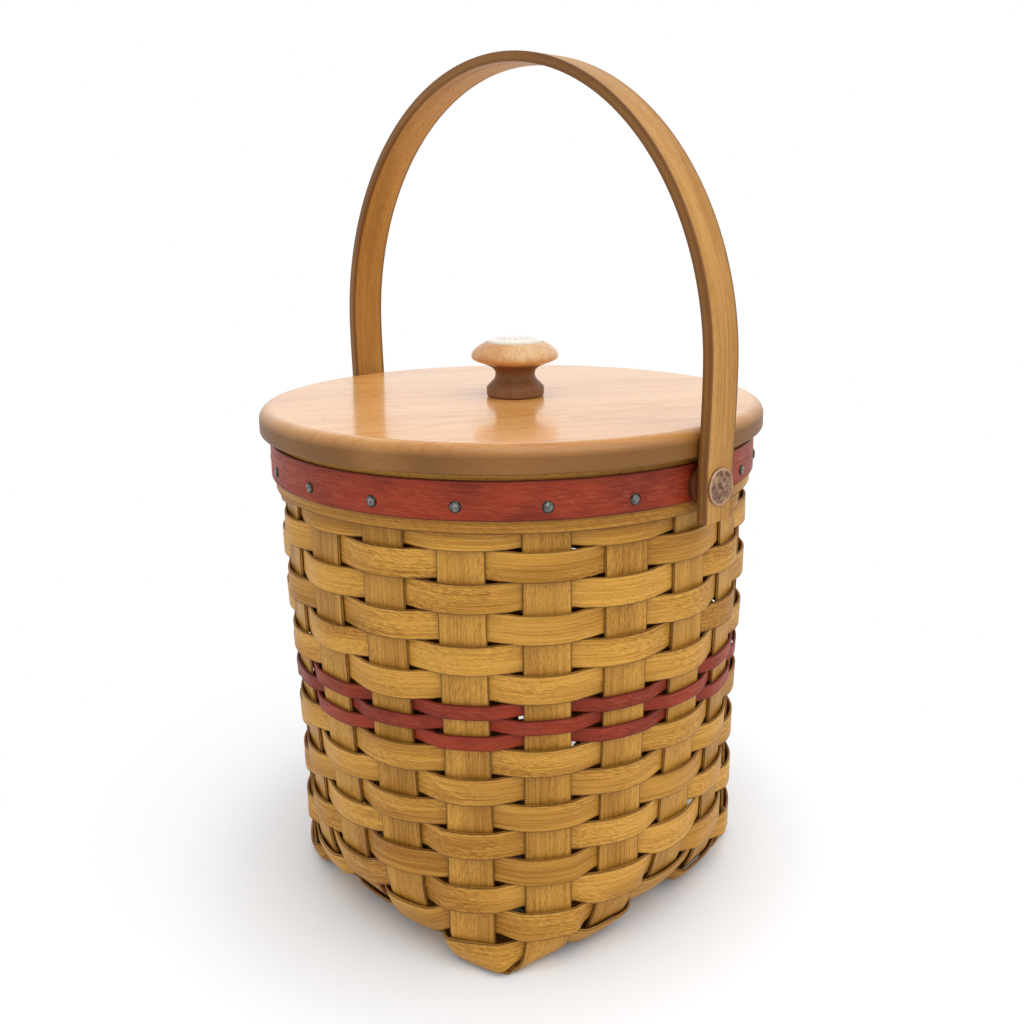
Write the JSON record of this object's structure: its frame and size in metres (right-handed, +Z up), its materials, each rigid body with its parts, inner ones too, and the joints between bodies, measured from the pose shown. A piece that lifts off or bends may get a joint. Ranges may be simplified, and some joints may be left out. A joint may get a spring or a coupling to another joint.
{
  "type": "lidded splint basket",
  "caption": "Round woven splint basket on a square base, with a lift-off turned wooden lid and a swinging bentwood handle.",
  "frame": {"origin": "middle of the base on the surface that the basket stands on", "axes": "+Z up; X along the axis of the two handle rivets; Y square to it, the handle swings towards +Y and -Y"},
  "size_m": [0.2416, 0.2278, 0.376],
  "materials": {
    "stake_splint": "satin",
    "weaver_splint": "satin",
    "red_splint": "satin",
    "rim_wood": "satin",
    "lid_wood": "satin",
    "knob_wood": "satin",
    "ceramic": "gloss",
    "handle_wood": "satin",
    "copper": "worn",
    "steel": "satin"
  },
  "bodies": {
    "basket": {"stake_x_1": "stake_splint", "stake_y_1": "stake_splint", "stake_x_2": "stake_splint", "stake_y_2": "stake_splint", "stake_x_3": "stake_splint", "stake_y_3": "stake_splint", "stake_x_4": "stake_splint", "stake_y_4": "stake_splint", "stake_x_5": "stake_splint", "stake_y_5": "stake_splint", "weaver_01": "weaver_splint", "weaver_02": "weaver_splint", "weaver_03": "weaver_splint", "weaver_04": "weaver_splint", "weaver_05": "weaver_splint", "weaver_06": "weaver_splint", "weaver_07": "weaver_splint", "weaver_08": "weaver_splint", "weaver_09": "weaver_splint", "weaver_10": "weaver_splint", "weaver_11": "weaver_splint", "weaver_12": "weaver_splint", "weaver_13": "weaver_splint", "weaver_14": "weaver_splint", "accent_weaver_1": "red_splint", "accent_weaver_2": "red_splint", "accent_weaver_3": "red_splint", "rim_filler_weaver": "weaver_splint", "inner_rim_hoop": "rim_wood", "outer_rim_band": "rim_wood", "accent_band": "red_splint", "rim_nail_01": "steel", "rim_nail_02": "steel", "rim_nail_03": "steel", "rim_nail_04": "steel", "rim_nail_05": "steel", "rim_nail_06": "steel", "rim_nail_07": "steel", "rim_nail_08": "steel", "rim_nail_09": "steel", "rim_nail_10": "steel", "rim_nail_11": "steel", "rim_nail_12": "steel", "rim_nail_13": "steel", "rim_nail_14": "steel", "rim_nail_15": "steel", "rim_nail_16": "steel", "rim_nail_17": "steel", "rim_nail_18": "steel", "handle_rivet_right": "copper", "handle_rivet_left": "copper", "spacer_disc_right": "knob_wood", "spacer_disc_left": "knob_wood", "burr_washer_right": "copper", "burr_washer_left": "copper"},
    "lid": {"lid_board": "lid_wood", "lid_knob": "knob_wood", "knob_inlay": "ceramic", "knob_screw": "steel"},
    "handle": {"swing_handle": "handle_wood"}
  },
  "joints": [
    {"name": "handle_swing", "type": "hinge", "parent": "basket", "child": "handle", "pos_m": [0, 0, 0.2016], "axis": [1, 0, 0], "range_deg": [-135, 135]},
    {"name": "lid_lift", "type": "slide", "parent": "basket", "child": "lid", "axis": [0, 0, 1], "range_m": [0, 0.02]}
  ]
}
